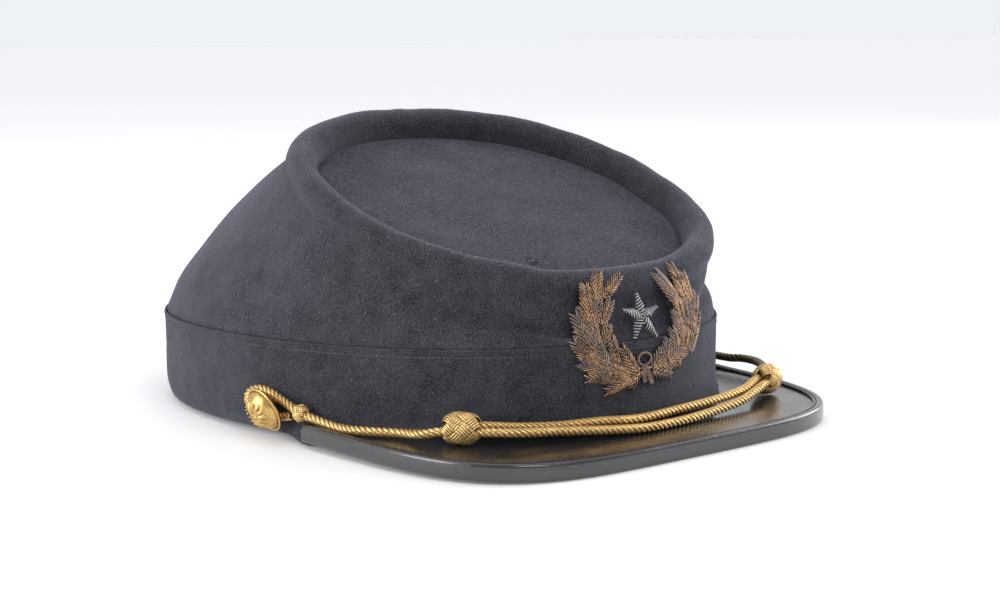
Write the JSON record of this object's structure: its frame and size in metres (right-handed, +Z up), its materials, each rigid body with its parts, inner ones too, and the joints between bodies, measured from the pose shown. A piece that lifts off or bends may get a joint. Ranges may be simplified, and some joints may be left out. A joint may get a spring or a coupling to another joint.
{
  "type": "kepi cap",
  "caption": "Soft cloth kepi with a low front, a sunken top in a rolled rim, a bound leather peak, a gold chin cord with slides and an embroidered wreath.",
  "frame": {"origin": "on the surface that the cap rests on, under the middle of its box measured without the chin cord", "axes": "+Z up, the front of the cap towards -Y, the wearer's left towards +X"},
  "size_m": [0.177, 0.2226, 0.0933],
  "materials": {
    "cloth": "fulled dark blue wool with pale lint",
    "leather": "black patent leather, finely crazed",
    "gilt": "worn gilt",
    "gold_cord": "twisted gold wire cord, tarnished in its grooves",
    "gold_bullion": "coiled gold wire embroidery, tarnished brown",
    "silver_bullion": "coiled silver wire embroidery, dulled grey"
  },
  "bodies": {
    "root": {"crown": "cloth", "crown_top": "cloth", "band": "cloth", "peak": "leather", "peak_binding": "leather", "button_right": "gilt", "button_left": "gilt", "chin_cord_right": "gold_cord", "chin_cord_left": "gold_cord", "cord_slide_right": "gold_cord", "cord_slide_left": "gold_cord", "cord_keeper_right": "gold_cord", "cord_keeper_left": "gold_cord", "wreath": "gold_bullion", "star": "silver_bullion"}
  },
  "joints": []
}
